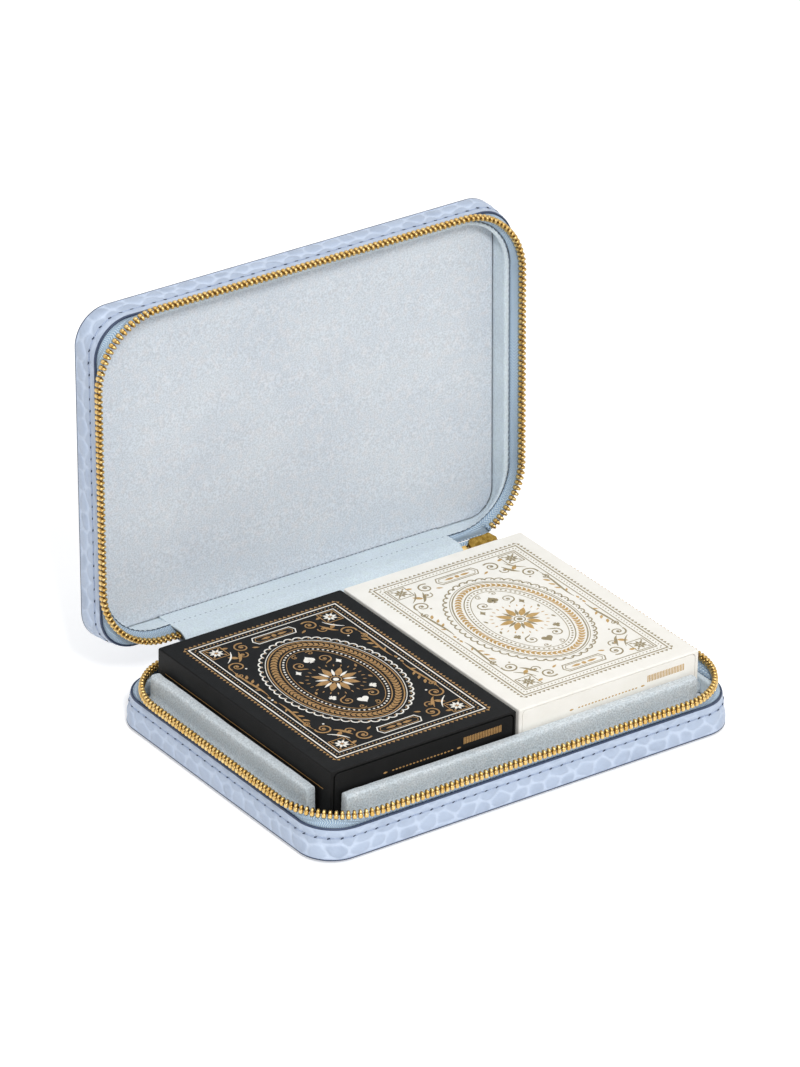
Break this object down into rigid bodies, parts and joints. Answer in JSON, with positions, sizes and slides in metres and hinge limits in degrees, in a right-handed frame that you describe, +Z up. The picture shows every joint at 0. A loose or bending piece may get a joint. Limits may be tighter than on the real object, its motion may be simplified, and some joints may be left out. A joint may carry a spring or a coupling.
{
  "type": "playing card case",
  "caption": "Zip-around clamshell card case in embossed leather with suede lining, retaining bars and boxed card decks; lid opens on a soft hinge.",
  "frame": {"origin": "centre of the base's underside", "axes": "+X along the hinge, +Y back towards the hinge, +Z up from the table"},
  "size_m": [0.1558, 0.1322, 0.1282],
  "materials": {
    "croc_leather": "crocodile-embossed, semi-gloss, periwinkle blue",
    "suede_lining": "short-napped microsuede, pale grey-blue",
    "zip_tape": "herringbone-woven tape, mid blue",
    "brass_teeth": "polished stamped brass",
    "brass_slider": "polished cast",
    "greyboard": "dense greyboard, hidden",
    "foam": "closed-cell foam, hidden",
    "black_tuck_board": "matt black printed card with foil ornament",
    "ivory_tuck_board": "matt ivory printed card with foil ornament",
    "card_stock": "linen-finish card stock"
  },
  "bodies": {
    "base": {"base_underside_leather": "croc_leather", "base_wall_leather": "croc_leather", "base_board_tray": "greyboard", "base_floor_pad": "foam", "base_floor_lining": "suede_lining", "base_wall_lining": "suede_lining", "left_bar_cover": "suede_lining", "left_bar_core": "foam", "right_bar_cover": "suede_lining", "right_bar_core": "foam", "front_bar_cover": "suede_lining", "front_bar_core": "foam", "back_bar_cover": "suede_lining", "back_bar_core": "foam", "base_zip_tape": "zip_tape", "base_zip_teeth": "brass_teeth", "base_zip_top_stop": "brass_teeth", "base_spine_leaf": "croc_leather", "base_hinge_lining_leaf": "suede_lining"},
    "lid": {"lid_top_leather": "croc_leather", "lid_wall_leather": "croc_leather", "lid_board_tray": "greyboard", "lid_top_pad": "foam", "lid_top_lining": "suede_lining", "lid_wall_lining": "suede_lining", "lid_zip_tape": "zip_tape", "lid_zip_teeth": "brass_teeth", "lid_zip_top_stop": "brass_teeth", "lid_spine_leaf": "croc_leather", "lid_hinge_lining_leaf": "suede_lining"},
    "zip_tail": {"zip_tail_tape": "zip_tape", "zip_tail_teeth": "brass_teeth", "zip_bottom_stop": "brass_teeth"},
    "slider": {"zip_slider_body": "brass_slider"},
    "pull": {"zip_pull_tab": "brass_slider"},
    "black_deck": {"black_deck_sleeve": "black_tuck_board", "black_deck_end_panel": "black_tuck_board", "black_deck_tuck_flap": "black_tuck_board", "black_deck_cards": "card_stock"},
    "white_deck": {"white_deck_sleeve": "ivory_tuck_board", "white_deck_end_panel": "ivory_tuck_board", "white_deck_tuck_flap": "ivory_tuck_board", "white_deck_cards": "card_stock"}
  },
  "joints": [
    {"name": "lid_hinge", "type": "hinge", "parent": "base", "child": "lid", "pos_m": [0, 0.05625, 0.0156], "axis": [-1, 0, 0], "range_deg": [-92, 88]},
    {"name": "zip_tail_fold", "type": "hinge", "parent": "base", "child": "zip_tail", "pos_m": [0, 0.05625, 0.0156], "axis": [-1, 0, 0], "range_deg": [-46, 44]},
    {"name": "slider_run", "type": "slide", "parent": "zip_tail", "child": "slider", "axis": [1, 0, 0], "range_m": [-0.002, 0.002]},
    {"name": "pull_swing", "type": "hinge", "parent": "slider", "child": "pull", "pos_m": [0.059, 0.05635, 0.01549], "axis": [0, -0.7193, -0.6947], "range_deg": [-75, 85]},
    {"name": "black_deck_lift", "type": "slide", "parent": "base", "child": "black_deck", "axis": [0, 0, 1], "range_m": [0, 0.04]},
    {"name": "white_deck_lift", "type": "slide", "parent": "base", "child": "white_deck", "axis": [0, 0, 1], "range_m": [0, 0.04]}
  ],
  "couplings": [
    {"joint": "zip_tail_fold", "follows": "lid_hinge", "ratio": 0.5}
  ]
}
